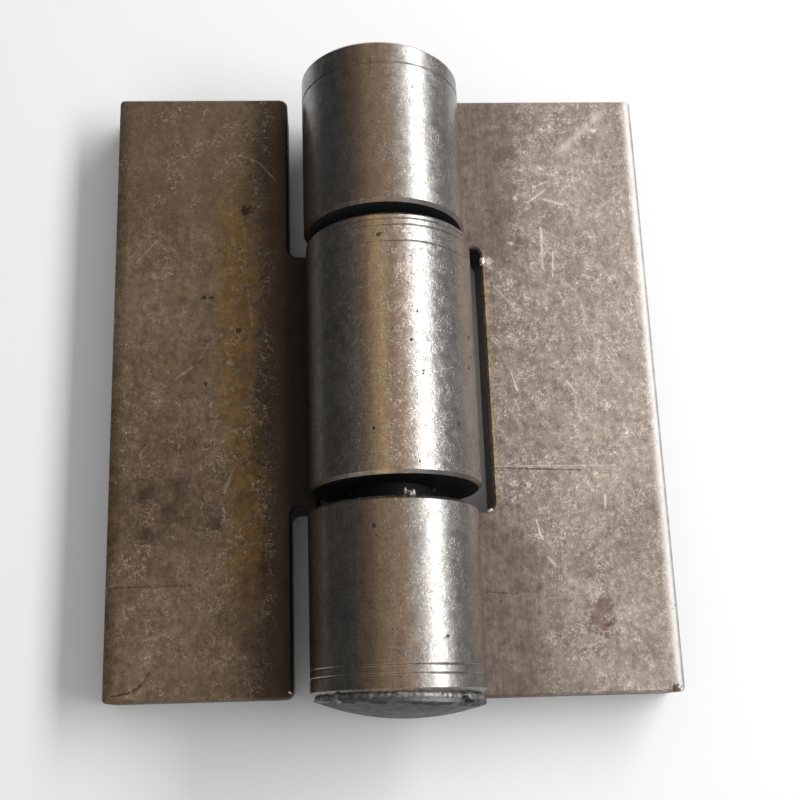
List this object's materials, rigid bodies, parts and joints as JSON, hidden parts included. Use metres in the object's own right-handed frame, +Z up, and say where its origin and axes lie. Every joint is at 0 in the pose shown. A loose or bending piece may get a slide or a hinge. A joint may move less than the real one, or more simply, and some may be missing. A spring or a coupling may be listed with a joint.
{
  "type": "butt hinge",
  "caption": "Weld-on steel butt hinge: two flat notched leaves joined by turned knuckles on a hidden pin, so that a door or lid swings about the barrel.",
  "frame": {"origin": "under the pin, at the middle of the overall length, on the plane of the leaf backs that the open hinge lies on", "axes": "+X from the pin to the fixed leaf's outer edge, +Y along the pin towards its plugged end and away from its domed head, +Z up out of the hinge's front"},
  "size_m": [0.0874, 0.1034, 0.0261],
  "materials": {
    "leaf_plate": "bare rolled plate, brown patina with fine scratches",
    "turned_bar": "satin turned, with fine rings",
    "pin_steel": "dull, lightly oiled",
    "weld_metal": "rippled bead, heat-tinted"
  },
  "bodies": {
    "fixed": {"fixed_leaf": "leaf_plate", "top_knuckle": "turned_bar", "bottom_knuckle": "turned_bar", "hinge_pin": "pin_steel", "pin_plug_weld": "weld_metal", "top_knuckle_weld": "weld_metal", "bottom_knuckle_weld": "weld_metal"},
    "swing": {"swing_leaf": "leaf_plate", "middle_knuckle": "turned_bar", "middle_knuckle_weld": "weld_metal"}
  },
  "joints": [
    {"name": "leaf_swing", "type": "hinge", "parent": "fixed", "child": "swing", "pos_m": [0, 0.0011, 0.01305], "axis": [0, 1, 0], "range_deg": [-95, 190]}
  ]
}
